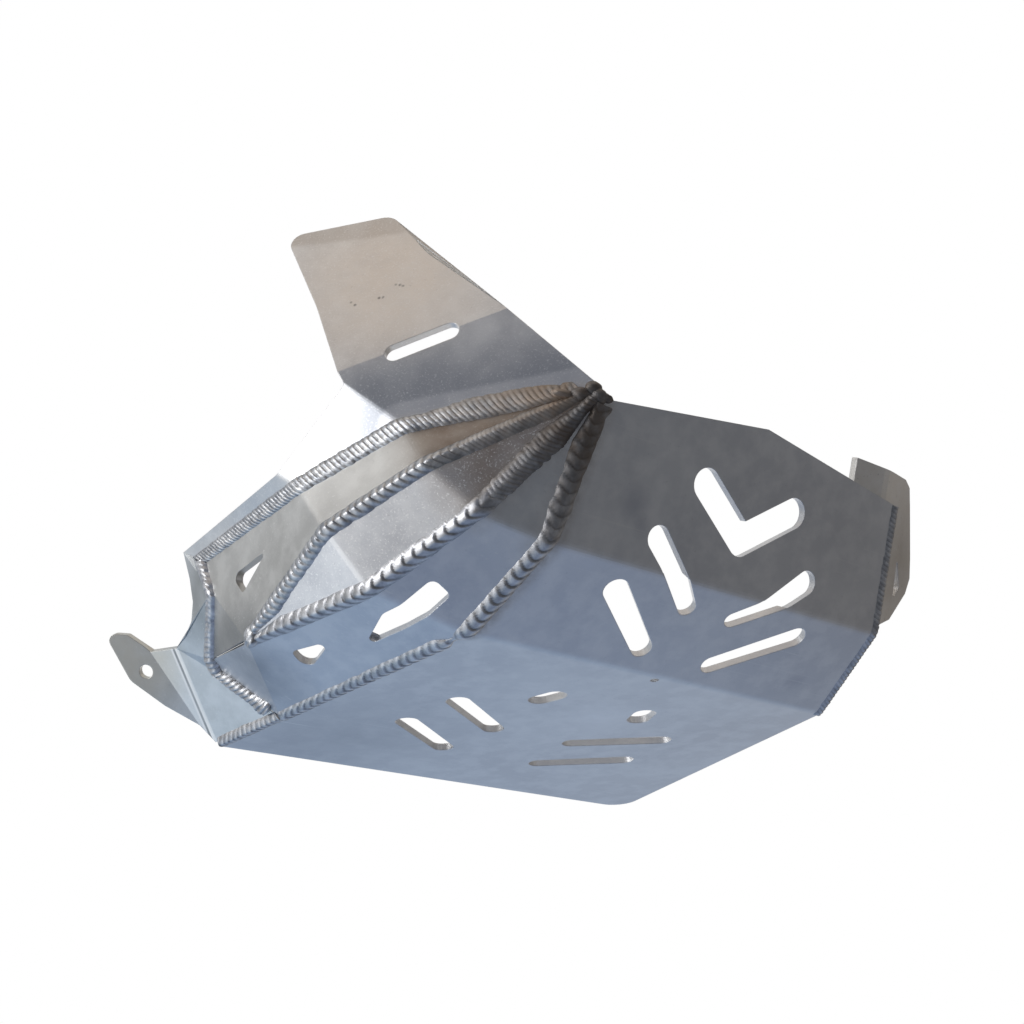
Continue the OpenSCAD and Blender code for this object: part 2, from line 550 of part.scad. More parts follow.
// Weld in the corner between the pan's right edge and the bracket over it
function outer_half(y) = let (y1 = panel_foot(1)[1], y2 = panel_foot(2)[1])
    y < y1 ? rear_half + (fold1_half - rear_half) * y / y1
    : fold1_half + (fold2_half - fold1_half) * (y - y1) / (y2 - y1);
function beside(p, d) = [outer_half(p[1]) + d + weld_seat / 3, p[1], p[2]];
function edge_at(d, z, s, k) =
    beside(pan_at(0, s, k) + [0, -sin(panel_rise[k]), cos(panel_rise[k])] * z, d);
function edge_ring(v, crown) = [v[0], v[1], each [for (j = [bead_arc:-1:1])
    mix(v[0], v[2], (1 - cos(180 * j / bead_arc)) / 2) + unit([1, 0, -1]) * crown * sin(180 * j / bead_arc)]];
edge_toe = min(weld_leg, 4.4);
function edge_ends(f) = [[0, 0.4], [0, belly_t - weld_seat + f * bracket_up(0)],
    [edge_toe, belly_t - weld_seat + 0.9 * f * bracket_up(edge_toe)]];
function on_edge(s, k, f) = [for (q = edge_ends(f)) edge_at(q[0], q[1], s, k)];
function edge_fold(f) = [for (q = edge_ends(1)) let (p = edge_at(q[0], q[1], panel1_len - 5, 0),
    c = beside(pan_at(0, panel1_len, 0) + [0, -fold_in, 1] * q[1], q[0]),
    e = edge_at(q[0], q[1], panel1_len + 5, 1)) mix(mix(p, c, f), mix(c, e, f), f)];
module right_edge_weld() color(weld_color) {
    a = round((panel1_len - 7) / ripple * 2);
    b = round((panel2_len - 11) / ripple * 2);
    run = concat([for (i = [0:a - 1]) on_edge(2 + (panel1_len - 7) * i / a, 0, 1)],
        [for (i = [0:arc_steps]) edge_fold(i / arc_steps)],
        [for (i = [1:b]) on_edge(panel1_len + 5 + (panel2_len - 11) * i / b, 1, 1 - 0.9 * i / b)]);
    skin([for (i = [0:len(run) - 1]) edge_ring(run[i], weld_h * (0.4 + 0.5 * (i % 2)))]);
}

belly_pan();
guard_lower_strip();
guard_middle_strip();
guard_upper_strip();
guard_wing();
front_end_plate();
right_bracket();
belly_seam_weld();
lower_seam_weld();
upper_seam_weld();
wing_seam_weld();
end_plate_weld();
end_seam_weld();
right_edge_weld();
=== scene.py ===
import math

import bmesh
import bpy
import numpy as np
from mathutils import Matrix, Vector


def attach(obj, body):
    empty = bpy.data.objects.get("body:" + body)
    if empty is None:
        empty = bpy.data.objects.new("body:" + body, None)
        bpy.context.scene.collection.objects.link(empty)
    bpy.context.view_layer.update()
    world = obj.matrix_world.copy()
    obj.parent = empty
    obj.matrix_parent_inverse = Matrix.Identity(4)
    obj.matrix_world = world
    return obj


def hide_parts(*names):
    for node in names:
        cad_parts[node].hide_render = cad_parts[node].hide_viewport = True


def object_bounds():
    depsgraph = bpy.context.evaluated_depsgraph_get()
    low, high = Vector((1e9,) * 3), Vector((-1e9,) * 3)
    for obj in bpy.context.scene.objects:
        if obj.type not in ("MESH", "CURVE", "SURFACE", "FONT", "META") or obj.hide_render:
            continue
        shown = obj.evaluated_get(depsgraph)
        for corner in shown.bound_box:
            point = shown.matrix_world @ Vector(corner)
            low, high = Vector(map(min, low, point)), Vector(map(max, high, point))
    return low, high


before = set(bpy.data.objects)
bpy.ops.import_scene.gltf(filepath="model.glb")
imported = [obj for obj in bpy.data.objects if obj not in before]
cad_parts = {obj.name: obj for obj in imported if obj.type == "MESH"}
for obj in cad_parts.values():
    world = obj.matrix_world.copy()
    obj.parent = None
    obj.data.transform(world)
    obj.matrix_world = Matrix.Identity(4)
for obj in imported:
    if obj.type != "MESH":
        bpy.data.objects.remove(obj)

size_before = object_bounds()
MM = 0.001  # seams, beads and marks are given in mm, and the scene is in metres
BLACK, WHITE = (0.0, 0.0, 0.0), (1.0, 1.0, 1.0)


def vec(*a):
    return np.array(a, float)


def unit(v):
    return v / np.linalg.norm(v)


def mix(a, b, f):
    return a + (b - a) * f


def leftward(out, ahead_by, up):
    """A step away from the pan's left edge."""
    return vec(-out, ahead_by, up)


# ---------------------------------------------------------------- guard points, as in the part
PANEL_RISE = (0.0, 33.0, 60.0)  # degrees, for the pan's rear, middle and front panel
PANEL_LENGTH = (68, 60, 205)
HALF_WIDTH = (102, 110, 119, 148)  # at the rear edge, the two folds and the front edge
END_FROM = 145  # where the end plate starts, along the front panel
FOLD_RADIUS = 10
FOLD_STEPS = 4  # pieces of a seam's soft corner at a fold

rise = [math.radians(a) for a in PANEL_RISE]
ahead = [vec(0, math.cos(r), math.sin(r)) for r in rise]
foot = [vec(0, 0, 0), vec(0, PANEL_LENGTH[0], 0)]
foot.append(foot[1] + ahead[1] * PANEL_LENGTH[1])
corner = vec(-HALF_WIDTH[0], 0, 0)
fold1 = foot[1] + vec(-HALF_WIDTH[1], 0, 0)
fold2 = foot[2] + vec(-HALF_WIDTH[2], 0, 0)
front = foot[2] + ahead[2] * PANEL_LENGTH[2] + vec(-HALF_WIDTH[3], 0, 0)
end_foot = mix(fold2, front, END_FROM / PANEL_LENGTH[2])

# the strips' edges at the first and second fold
lower1 = fold1 + leftward(32, -4.5, 13)
middle1 = lower1 + leftward(20, -14.5, 21)
upper1 = middle1 + leftward(3, -15.5, 24.5)
wing1 = upper1 + leftward(19, -13.5, 32)
lower2 = fold2 + leftward(45.5, -8, 18)
middle2 = lower2 + leftward(20, -21.5, 19)
upper2 = middle2 + leftward(4.5, -16.5, 31.5)
wing2 = upper2 + leftward(6.5, -3.5, 12.5)

# their front ends and the end plate
tip = lower2 + leftward(18, 41.5, 76.5)
wing_end = upper2 + leftward(3, 49, 93.5)
wing_tip = wing_end + leftward(5, -1, 13.5)
end_mid = mix(wing_end, tip, 0.32) + vec(0, 4, 1)
crease_top = front + leftward(35.5, -48, 6.5)
end_low = mix(crease_top, tip, 0.5) + vec(11, 10, 20)
end_knee = mix(end_low, end_foot, 0.2) + vec(0, 3, 8)
tab_end = vec(-202, 185, 243)

# the tongue's plane
tongue_foot = corner + vec(-1, -1.4, 0.4)
tongue_x = unit(upper1 - tongue_foot)
tongue_in = unit(np.cross(tongue_x, wing1 - upper1))
tongue_y = np.cross(tongue_in, tongue_x)


def tongue_at(u, v):
    return tongue_foot + tongue_x * u + tongue_y * v


# where the four seams start, at the rear corner
nose = [corner, corner + vec(-2, -1, 1), corner + vec(-4, -2, 3), tongue_at(5, 3)]


def pull(p, q, d):
    return p + unit(q - p) * d


def soften(a, b, c, run):
    """A soft corner at b, from run mm before it to run mm after it."""
    p, q = pull(b, a, run), pull(b, c, run)
    shares = (i / FOLD_STEPS for i in range(FOLD_STEPS + 1))
    return [mix(mix(p, b, f), mix(b, q, f), f) for f in shares]


run1, run2 = (FOLD_RADIUS * math.tan(math.radians((b - a) / 2))
              for a, b in zip(PANEL_RISE, PANEL_RISE[1:]))


def seam(a, b, c, d, start=0.045):
    """A seam from near a, over both folds, to d."""
    return [mix(a, b, start)] + soften(a, b, c, run1) + soften(b, c, d, run2) + [d]


seam_belly = seam(nose[0], fold1, fold2, end_foot)
seam_lower = seam(nose[1], lower1, lower2, tip)
seam_upper = seam(nose[2], middle1, middle2, tip)
seam_wing = seam(nose[3], upper1, upper2, wing_end)
edge_wing = ([tongue_at(39.5, 56)] + soften(tongue_at(123.5, 36), wing1, wing2, run1)
             + soften(wing1, wing2, wing_tip, run2) + [wing_tip])


# ---------------------------------------------------------------- node materials
def grey(v):
    return (v, v, v)


class Tree:
    """Short names for building one shader tree."""

    def __init__(self, owner, last_node):
        owner.use_nodes = True
        self.owner = owner
        self.tree = owner.node_tree
        self.tree.nodes.clear()
        self.last = self.node(last_node)

    def node(self, kind, **inputs):
        n = self.tree.nodes.new(kind)
        for key, v in inputs.items():
            self.set(n, key.replace("_", " "), v)
        return n

    def set(self, n, key, v):
        if isinstance(v, bpy.types.NodeSocket):
            self.tree.links.new(v, n.inputs[key])
        else:
            n.inputs[key].default_value = v

    def end(self, shader):
        self.set(self.last, "Surface", shader.outputs[0])
        return self.owner

    def math(self, operation, a, b, clamp=False):
        n = self.node("ShaderNodeMath")
        n.operation = operation
        n.use_clamp = clamp
        self.set(n, 0, a)
        self.set(n, 1, b)
        return n.outputs[0]

    def times(self, a, b):
        return self.math("MULTIPLY", a, b)

    def plus(self, a, b):
        return self.math("ADD", a, b)

    def larger(self, a, b):
        return self.math("MAXIMUM", a, b)

    def vector(self, operation, a, b=None):
        n = self.node("ShaderNodeVectorMath")
        n.operation = operation
        self.set(n, 0, a)
        if b is not None:
            self.set(n, 1, b)
        return n

    def map_range(self, value, start, end, low=0.0, high=1.0, smooth=False):
        n = self.node("ShaderNodeMapRange")
        if smooth:
            n.interpolation_type = "SMOOTHSTEP"
        for key, v in (("Value", value), ("From Min", start), ("From Max", end),
                       ("To Min", low), ("To Max", high)):
            self.set(n, key, v)
        return n.outputs["Result"]

    def noise(self, co, scale, detail, rough=0.55, distortion=0.0):
        n = self.node("ShaderNodeTexNoise", Vector=co, Scale=scale, Detail=detail,
                      Roughness=rough, Distortion=distortion)
        return n.outputs["Fac"]

    def mapped(self, co, scale, turn):
        n = self.node("ShaderNodeMapping", Vector=co, Scale=scale, Rotation=turn)
        return n.outputs["Vector"]

    def ramp(self, fac, stops):
        n = self.node("ShaderNodeValToRGB", Fac=fac)
        elements = n.color_ramp.elements
        while len(elements) < len(stops):
            elements.new(0.5)
        for e, (position, color) in zip(elements, stops):
            e.position = position
            e.color = (*color, 1)
        return n.outputs["Color"]

    def climb(self, fac, start, end, low=0.0):
        """From low at start to 1 at end."""
        return self.ramp(fac, [(start, grey(low)), (end, WHITE)])

    def blend(self, fac, a, b, how="MIX"):
        n = self.node("ShaderNodeMix")
        n.data_type = "RGBA"
        n.blend_type = how
        # the inputs 6 and 7 are the two colours
        for key, v in ((0, fac), (6, a), (7, b)):
            self.set(n, key, (*v, 1) if isinstance(v, tuple) else v)
        return n.outputs[2]


def new_material(name):
    return Tree(bpy.data.materials.new(name), "ShaderNodeOutputMaterial")


def near_point(t, co, p, full, none):
    """1 within full mm of a point, fading to 0 at none mm."""
    distance = t.vector("DISTANCE", co, tuple(p * MM)).outputs["Value"]
    return t.map_range(distance, full * MM, none * MM, 1, 0)


def near_line(t, co, a, b, full, none):
    """1 within full mm of a straight line, fading softly to 0 at none mm."""
    a, b = a * MM, b * MM
    length = float(np.linalg.norm(b - a))
    heading = (b - a) / length
    from_a = t.vector("SUBTRACT", co, tuple(a))
    dot = t.vector("DOT_PRODUCT", from_a.outputs[0], tuple(heading)).outputs["Value"]
    foot_point = t.vector("SCALE", tuple(heading))
    t.set(foot_point, "Scale", t.math("MINIMUM", t.larger(dot, 0.0), length))
    distance = t.vector("DISTANCE", from_a.outputs[0], foot_point.outputs[0]).outputs["Value"]
    return t.map_range(distance, full * MM, none * MM, 1, 0, smooth=True)


def near_lines(t, co, pts, full, none):
    mask = None
    for a, b in zip(pts, pts[1:]):
        part = near_line(t, co, a, b, full, none)
        mask = part if mask is None else t.larger(mask, part)
    return mask


def sheet_metal(name, dark, light, rough, glint_speckle, grain=0.5, scuffs=0.35, pits=0.3,
                soot_and_shadow=(), soot_and_shadow_color=(0.20, 0.145, 0.10), patches=()):
    """Rolled aluminium sheet with mottling, a speckle of painted glints, rolling lines, pits and
    scuffs.

    A patch is a duller or lighter place, a mark of the sheet's own or a painted shade, highlight or
    reflection as noted where it is given: a point, or the points of a line, the radius within which
    it is full, the radius where it ends, an amount and a colour. The soot and shadow lines have the
    same
    two radii and an amount: weld soot, and on the right bracket a painted shadow line.
    """
    t = new_material(name)
    co = t.node("ShaderNodeTexCoord").outputs["Object"]
    slow = t.noise(co, 14.0, 3.0, 0.5, 0.4)
    mid = t.noise(co, 75.0, 4.0, 0.6)
    fine = t.noise(co, 950.0, 3.0, 0.7)
    rolled = t.noise(t.mapped(co, (25, 900, 900), (0.3, 0.2, 0.5)), 1.0, 3.0, 0.6)
    base = t.blend(t.climb(slow, 0.35, 0.65), dark, light)
    lighter = t.blend(0.35, base, tuple(min(1.0, c * 1.25) for c in light))
    base = t.blend(t.climb(mid, 0.42, 0.62), base, lighter)
    for place, full, none, amount, color in patches:
        near = near_lines if isinstance(place, list) else near_point
        uneven = t.climb(t.noise(co, 45.0, 3.0, 0.6), 0.25, 0.6, low=0.6)
        mask = t.times(near(t, co, place, full, none), uneven)
        base = t.blend(t.math("MULTIPLY", mask, amount, clamp=True), base, color)
    # painted glints: white specks mixed into the colour
    base = t.blend(t.times(t.climb(fine, 0.56, 0.68), glint_speckle), base, WHITE)
    pitted = t.ramp(t.noise(co, 620.0, 2.0, 0.5), [(0.26, WHITE), (0.33, BLACK)])
    base = t.blend(t.times(pitted, pits), base, (0.22, 0.22, 0.23))
    scratches = None
    for turn, scale in (((0.1, 0.5, 0.9), (12, 700, 700)), ((0.7, -0.3, 2.1), (9, 800, 800))):
        s = t.climb(t.noise(t.mapped(co, scale, turn), 1.0, 1.0, 0.5), 0.69, 0.74)
        scratches = s if scratches is None else t.blend(1.0, scratches, s, "ADD")
    scratches = t.times(scratches, t.climb(t.noise(co, 30.0, 2.0), 0.45, 0.6))
    base = t.blend(t.times(scratches, scuffs), base, grey(0.9))
    roughness = t.plus(t.times(mid, 0.16), rough - 0.08)
    roughness = t.plus(roughness, t.times(slow, 0.10))
    # weld soot along the seams, and on the right bracket a painted shadow line beside the weld
    for line, full, none, amount in soot_and_shadow:
        uneven = t.climb(t.noise(co, 160.0, 4.0, 0.65), 0.3, 0.65, low=0.25)
        mask = t.times(near_lines(t, co, line, full, none), uneven)
        base = t.blend(t.math("MULTIPLY", mask, amount, clamp=True), base, soot_and_shadow_color)
        roughness = t.plus(roughness, t.times(mask, 0.15))
    relief = t.plus(t.times(rolled, 0.25 * grain), t.times(fine, 0.5 * grain))
    relief = t.plus(relief, t.times(mid, 0.8 * grain))
    soft_edges = t.node("ShaderNodeBevel", Radius=0.7 * MM)
    soft_edges.samples = 4
    bump = t.node("ShaderNodeBump", Strength=0.25, Distance=0.2 * MM, Height=relief,
                  Normal=soft_edges.outputs[0])
    return t.end(t.node("ShaderNodeBsdfPrincipled", Metallic=1.0, Roughness=roughness,
                        Base_Color=base, Normal=bump.outputs[0]))


def nick(x, y, z):
    """A black speck on the tongue."""
    return (vec(x, y, z), 0.2, 1.1, 0.9, (0.08, 0.07, 0.07))


# the sooty part of a seam: its rear stretch and the first fold
REAR = slice(0, 6)
# the painted highlight and shade lines of the end plate's bend radius, drawn a little towards the
# tab
bend = [crease_top, front]
toward_tab = unit(tab_end - mix(crease_top, front, 0.5))


def beside_bend(d):
    return [q + toward_tab * d for q in bend]


sheets = {
    "belly_pan": sheet_metal(
        "pan_sheet", (0.70, 0.71, 0.74), (0.80, 0.81, 0.83), 0.36, 0.05, pits=0.1,
        soot_and_shadow=[(seam_belly[:7], 4, 12, 0.4)],
        patches=[(vec(-69, 41, 0), 2, 11, 0.45, (0.40, 0.42, 0.50)),
                 (vec(-62, 50, 0), 1, 7, 0.35, (0.40, 0.42, 0.50)),
                 (vec(83, 103, 23), 2, 8, 0.4, (0.42, 0.44, 0.52)),
                 (vec(85, 35, 0), 10, 60, 0.22, (0.42, 0.43, 0.46)),
                 # painted shade: the front panel darker towards its left side
                 (vec(-100, 200, 172), 15, 90, 0.48, (0.42, 0.44, 0.48)),
                 # painted highlight: a near-white reflection in the middle of the front panel
                 (vec(15.5, 152, 91), 4, 36, 0.6, (0.97, 0.98, 1.0))]),
    "guard_lower_strip": sheet_metal(
        "guard_sheet", (0.70, 0.72, 0.76), (0.80, 0.82, 0.85), 0.34, 0.06, pits=0.1, scuffs=0.6,
        soot_and_shadow=[(seam_belly[REAR], 3, 15, 0.25), (seam_lower[REAR], 3, 13, 0.25)],
        # painted shade: darker at the strip's front end
        patches=[(vec(-168, 167, 148), 10, 40, 0.75, (0.33, 0.35, 0.38))]),
    "guard_middle_strip": sheet_metal(
        "bright_sheet", (0.68, 0.69, 0.72), (0.84, 0.85, 0.87), 0.40, 0.95, grain=3.0, pits=0.15,
        soot_and_shadow=[(seam_lower[REAR], 3, 10, 0.55), (seam_upper[REAR], 2, 8, 0.35)],
        # painted reflection and shade: brown round the rear corner
        patches=[(vec(-125, 28, 12), 24, 56, 0.9, (0.40, 0.325, 0.28)),
                 # painted highlight: a white line along the second fold
                 ([lower2, middle2], 0.6, 1.8, 0.7, WHITE)]),
    "guard_upper_strip": sheet_metal(
        # painted shade: this strip's sheet is a darker copy of the same aluminium
        "grey_sheet", (0.52, 0.52, 0.51), (0.66, 0.66, 0.65), 0.38, 0.10, pits=0.12,
        soot_and_shadow=[(seam_upper[REAR], 3, 11, 0.4), (seam_wing[REAR], 3, 11, 0.4)],
        # painted reflection and shade: dark brown round the rear corner
        patches=[(vec(-132, 20, 28), 28, 60, 0.92, (0.245, 0.19, 0.155)),
                 (vec(-183, 82, 73), 4, 20, 0.35, grey(0.34)),
                 # painted shade: darker in the inside corner where the strips meet the end plate
                 ([seam_upper[-1], end_low], 4, 28, 0.8, (0.27, 0.28, 0.29))]),
    "guard_wing": sheet_metal(
        "wing_sheet", (0.70, 0.70, 0.71), grey(0.83), 0.33, 0.5, grain=1.9, pits=0.12,
        soot_and_shadow=[(seam_wing[REAR], 3, 8, 0.25)],
        # painted shade: bluish and darker along the start of the wing seam, over the tongue's lower
        # part
        patches=[(seam_wing[:4], 12, 50, 0.75, (0.34, 0.365, 0.42)),
                 # painted shade: a bluish darker spot near the wing's first fold
                 (vec(-169, 15, 74), 4, 34, 0.35, (0.34, 0.37, 0.42)),
                 (seam_wing[:4], 11.5, 15, 0.45, (0.92, 0.92, 0.94)),
                 # painted reflection: bluish near the wing's second fold
                 (vec(-193, 83, 132), 10, 36, 0.5, (0.42, 0.50, 0.60)),
                 # painted reflection: warm beige over the tongue
                 (vec(-165, -38, 112), 20, 60, 0.6, (0.91, 0.83, 0.745)),
                 ([vec(-203, -58, 176), vec(-158, -75, 134)], 9, 13, 0.4, (0.48, 0.43, 0.38)),
                 nick(-162.6, -37.4, 105.6), nick(-164.4, -37.4, 107.2), nick(-161.4, -37.0, 104.2),
                 nick(-170.1, -28.3, 109.0), nick(-168.6, -28.9, 107.8),
                 nick(-178.3, -22.1, 116.2), nick(-180.0, -23.4, 118.6)]),
    "front_end_plate": sheet_metal(
        # painted shade: the end plate's sheet is a darker, bluish copy of the same aluminium
        "end_sheet", (0.58, 0.62, 0.65), (0.68, 0.72, 0.76), 0.34, 0.06, pits=0.1,
        # painted shade: darker round the end seam's inside corner
        patches=[(vec(-188, 141, 181), 12, 40, 0.75, (0.34, 0.36, 0.37)),
                 (tab_end, 18, 44, 0.75, (0.62, 0.58, 0.49)),
                 # painted highlight and shade: the bend radius as a white line, a dark line and a
                 # white line
                 (bend, 0.8, 2.0, 0.9, WHITE),
                 (beside_bend(3.0), 0.4, 1.3, 0.85, (0.20, 0.22, 0.24)),
                 (beside_bend(5.0), 0.4, 1.3, 0.7, (0.98, 0.98, 1.0))]),
    "right_bracket": sheet_metal(
        "bracket_sheet", (0.78, 0.76, 0.73), (0.88, 0.86, 0.83), 0.4, 0.06,
        # painted shadow: a near-black line in the gap beside the right edge weld, given as a soot
        # line
        soot_and_shadow=[([vec(105, 0, 0), vec(113, 68, 0), vec(120, 119, 33)], 2, 4.5, 0.85)],
        soot_and_shadow_color=grey(0.05),
        patches=[(vec(126, 26, 13), 8, 44, 0.6, (0.46, 0.42, 0.38))]),
}
for node, sheet in sheets.items():
    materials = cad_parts[node].data.materials
    materials.clear()
    materials.append(sheet)


# ---------------------------------------------------------------- weld metal
# the brown, duller place round the rear corner, where the runs start
CORNER_BROWN_AT, CORNER_BROWN_FULL, CORNER_BROWN_NONE = corner + vec(-3, 0, 0), 26, 84


def weld_material(name, corner_brown, dull, bright, depth):
    """Bright rippled weld metal, with painted shade by depth between its ripples, and brown at the
    rear corner.
    """
    t = new_material(name)
    co = t.node("ShaderNodeTexCoord").outputs["Object"]
    coarse = t.noise(co, 220.0, 4.0, 0.6)
    fine = t.noise(co, 1400.0, 2.0, 0.6)
    base = t.blend(t.climb(coarse, 0.35, 0.65), dull, bright)
    ripple = t.node("ShaderNodeAttribute")
    ripple.attribute_name = "ripple"
    hollow = t.math("SUBTRACT", 1.0, ripple.outputs["Fac"])
    # painted shade: towards a near-black grey in the dips between ripples, where the ripple value
    # is low
    base = t.blend(t.times(hollow, depth), base, (0.12, 0.12, 0.125))
    at_corner = near_point(t, co, CORNER_BROWN_AT, CORNER_BROWN_FULL, CORNER_BROWN_NONE)
    uneven = t.climb(t.noise(co, 120.0, 3.0, 0.6), 0.32, 0.58, low=0.7)
    browner = tuple(c * k for c, k in zip(corner_brown, (1.5, 1.35, 1.2)))
    brown = t.blend(t.climb(t.noise(co, 60.0, 3.0, 0.6), 0.40, 0.58), corner_brown, browner)
    base = t.blend(t.times(t.times(at_corner, uneven), 0.85), base, brown)
    roughness = t.plus(t.times(coarse, 0.25), t.plus(t.times(at_corner, 0.26), 0.22))
    bump = t.node("ShaderNodeBump", Strength=0.35, Distance=0.3 * MM,
                  Height=t.plus(coarse, t.times(fine, 0.4)))
    return t.end(t.node("ShaderNodeBsdfPrincipled", Metallic=1.0, Roughness=roughness,
                        Base_Color=base, Normal=bump.outputs[0]))


# the last number sets how strong the painted shade between ripples is
weld = weld_material("weld", (0.115, 0.10, 0.088), (0.46, 0.47, 0.50), (0.80, 0.81, 0.84), 0.75)
warm_weld = weld_material("warm_weld", (0.27, 0.235, 0.205), (0.40, 0.42, 0.46),
                          (0.86, 0.87, 0.89), 0.95)


# ---------------------------------------------------------------- weld beads
RING_STEP = 0.42  # mm between a bead's rings
DOME = 11  # points of a ring's dome, from toe to toe
RING = DOME + 3  # with a skirt at each toe and one line under the seam
SKIRT = 1.6  # mm that the toes reach into the plates
TOE = -0.25  # height of the toes, in mm
DRAWS = 400  # random numbers that a bead uses in turn
SKEW = 0.7  # how far a ripple's middle runs ahead of its sides, in ripples
CREST = 0.14  # share of a ripple's length over which it rises
DIP = 0.42  # share of the crown that is lost between two ripples
SWAY = 0.045  # how much a bead's width wanders
UNEVEN = 0.05  # how much the ripples differ in height
ROOM_SHARE = 0.47  # how far a bead may reach towards a plate's other side
MARGIN = 0.6  # mm within the part's lowest point where a bead starts to be pressed back

low_side, high_side = size_before[0][2] / MM, size_before[1][1] / MM


def held(p):
    """A bead's point, pressed softly back where it would stand out past the part's own size."""
    q = p.copy()
    if q[2] < low_side + MARGIN:
        q[2] = low_side + MARGIN * math.exp((q[2] - low_side - MARGIN) / MARGIN)
    q[1] = min(q[1], high_side - 0.02)
    return q


def resample(lines, step):
    """Points every step mm along the first line, with the matching points of the others."""
    base = lines[0]
    seg = [np.linalg.norm(b - a) for a, b in zip(base, base[1:])]
    total = sum(seg)
    n = max(2, int(round(total / step)))
    out, i, done = [], 0, 0.0
    for k in range(n + 1):
        want = total * k / n
        while i < len(seg) - 1 and done + seg[i] < want:
            done += seg[i]
            i += 1
        f = min(1.0, (want - done) / seg[i])
        out.append((want, [mix(line[i], line[i + 1], f) for line in lines]))
    return out


def ripples_by(s, pitch, wrinkled):
    """How many ripples are laid by s mm, and how deep they are there."""
    if not wrinkled:
        return s / pitch, 1.0
    stretch, wrinkle = wrinkled
    if s < stretch:
        return s / wrinkle, 0.55
    return stretch / wrinkle + (s - stretch) / pitch, 1.0


def coin_at(phase):
    """Height of a ripple over its length: a steep front, then a round fall to the next one."""
    if phase < CREST:
        return phase / CREST
    return math.cos((phase - CREST) / (1 - CREST) * math.pi / 2) ** 0.55


def bead(name, node, seam_pts, left, right, pitch, leg, crown, seed, inside=False, least=2.2,
         wrinkled=None, swell=None, lean=None, smooth_from=None, metal=weld):
    """A weld bead of overlapping coin-like ripples along a seam, sitting on the two plates.

    left and right hold a point of each plate for every point of the seam. In mm, pitch is a
    ripple's length, leg the reach on each plate, at least least, and crown the height. inside
    fills a hollow corner. wrinkled gives a first stretch and the pitch of its close wrinkles.
    swell(s) is the extra size s mm along, lean(s) a factor for the reach on the right plate,
    and past smooth_from the ripples are shallow.
    """
    rng = np.random.default_rng(seed)
    stations = resample([seam_pts, left, right], RING_STEP)
    wobble = rng.normal(0, 1, DRAWS)
    verts, faces, ripple = [], [], []
    for k, (s, (c, l, r)) in enumerate(stations):
        before = stations[max(k - 3, 0)][1][0]
        after = stations[min(k + 3, len(stations) - 1)][1][0]
        along = unit(after - before)
        to_left, to_right = l - c, r - c
        room_left, room_right = np.linalg.norm(to_left), np.linalg.norm(to_right)
        up = unit(unit(np.cross(along, to_left)) + unit(np.cross(to_right, along)))
        big = 1.0 + (swell(s) if swell else 0.0)
        turns, depth = ripples_by(s, pitch, wrinkled)
        if smooth_from and s > smooth_from:
            depth = 0.3
        f = turns - math.floor(turns)
        f = f * f * (3 - 2 * f)
        sway = wobble[int(turns) % DRAWS] * (1 - f) + wobble[int(turns + 1) % DRAWS] * f
        edge = (1 + SWAY * sway) * big
        right_leg = leg * edge * (lean(s) if lean else 1.0)
        reach_left = max(min(leg * edge, ROOM_SHARE * room_left), least * big)
        reach_right = max(min(right_leg, ROOM_SHARE * room_right), least * big)
        dome, dome_ripple = [], []
        for j in range(DOME):
            v = -1 + 2 * j / (DOME - 1)
            # each ripple is a coin laid over the last one: round in front, dipping behind
            q = turns - SKEW * (1 - abs(v) ** 1.8) + 2
            coin = coin_at(q - math.floor(q))
            reach = reach_left if v < 0 else reach_right
            sideways = unit(to_left) if v < 0 else unit(to_right)
            p = c + sideways * reach * abs(v) * (0.95 + 0.05 * coin)
            arch = (1 - abs(v) ** 2.2) ** 0.8
            low = 1 - DIP * depth * (1 - coin) + UNEVEN * wobble[int(math.floor(q)) % DRAWS]
            height = crown * big * arch * low * min(1.0, (reach_left + reach_right) / leg / 1.2)
            if inside:
                height += 0.12 * leg * arch
            if abs(v) == 1:
                height = TOE
            dome.append(held(p + up * height) * MM)
            # the ripple value is low in the dips between ripples, where the weld material paints
            # shade
            dome_ripple.append(1 - depth * (1 - min(1.0, 0.15 + 0.85 * coin)))
        under = 0.4 if inside else min(1.2, 0.4 * min(room_left, room_right)) * 1.2
        skirt = up * (SKIRT * MM)
        verts += [dome[0] - skirt, *dome, dome[-1] - skirt, (c - up * under) * MM]
        # the skirts and the underside get low ripple values, so they take the painted shade too
        ripple += [0.3, *dome_ripple, 0.3, 0.0]
    for k in range(len(stations) - 1):
        for j in range(RING):
            p, q = k * RING + j, k * RING + (j + 1) % RING
            faces.append((p, q, q + RING, p + RING))
    last = (len(stations) - 1) * RING
    faces.append(tuple(range(RING - 1, -1, -1)))
    faces.append(tuple(last + j for j in range(RING)))
    me = bpy.data.meshes.new(name)
    me.from_pydata([tuple(v) for v in verts], [], faces)
    me.attributes.new("ripple", "FLOAT", "POINT").data.foreach_set("value", ripple)
    me.update()
    for f in me.polygons:
        f.use_smooth = True
    # a crisp line at both toes, so the hidden underside doesn't darken them
    ends = np.empty(len(me.edges) * 2, dtype=np.int64)
    me.edges.foreach_get("vertices", ends)
    place = ends.reshape(-1, 2) % RING
    at_toe = (place == 1).all(1) | (place == DOME).all(1)
    me.attributes.new("sharp_edge", "BOOLEAN", "EDGE").data.foreach_set("value", at_toe.tolist())
    o = bpy.data.objects.new(name, me)
    bpy.context.scene.collection.objects.link(o)
    me.materials.append(metal)
    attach(o, "root")
    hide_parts(node)
    return o


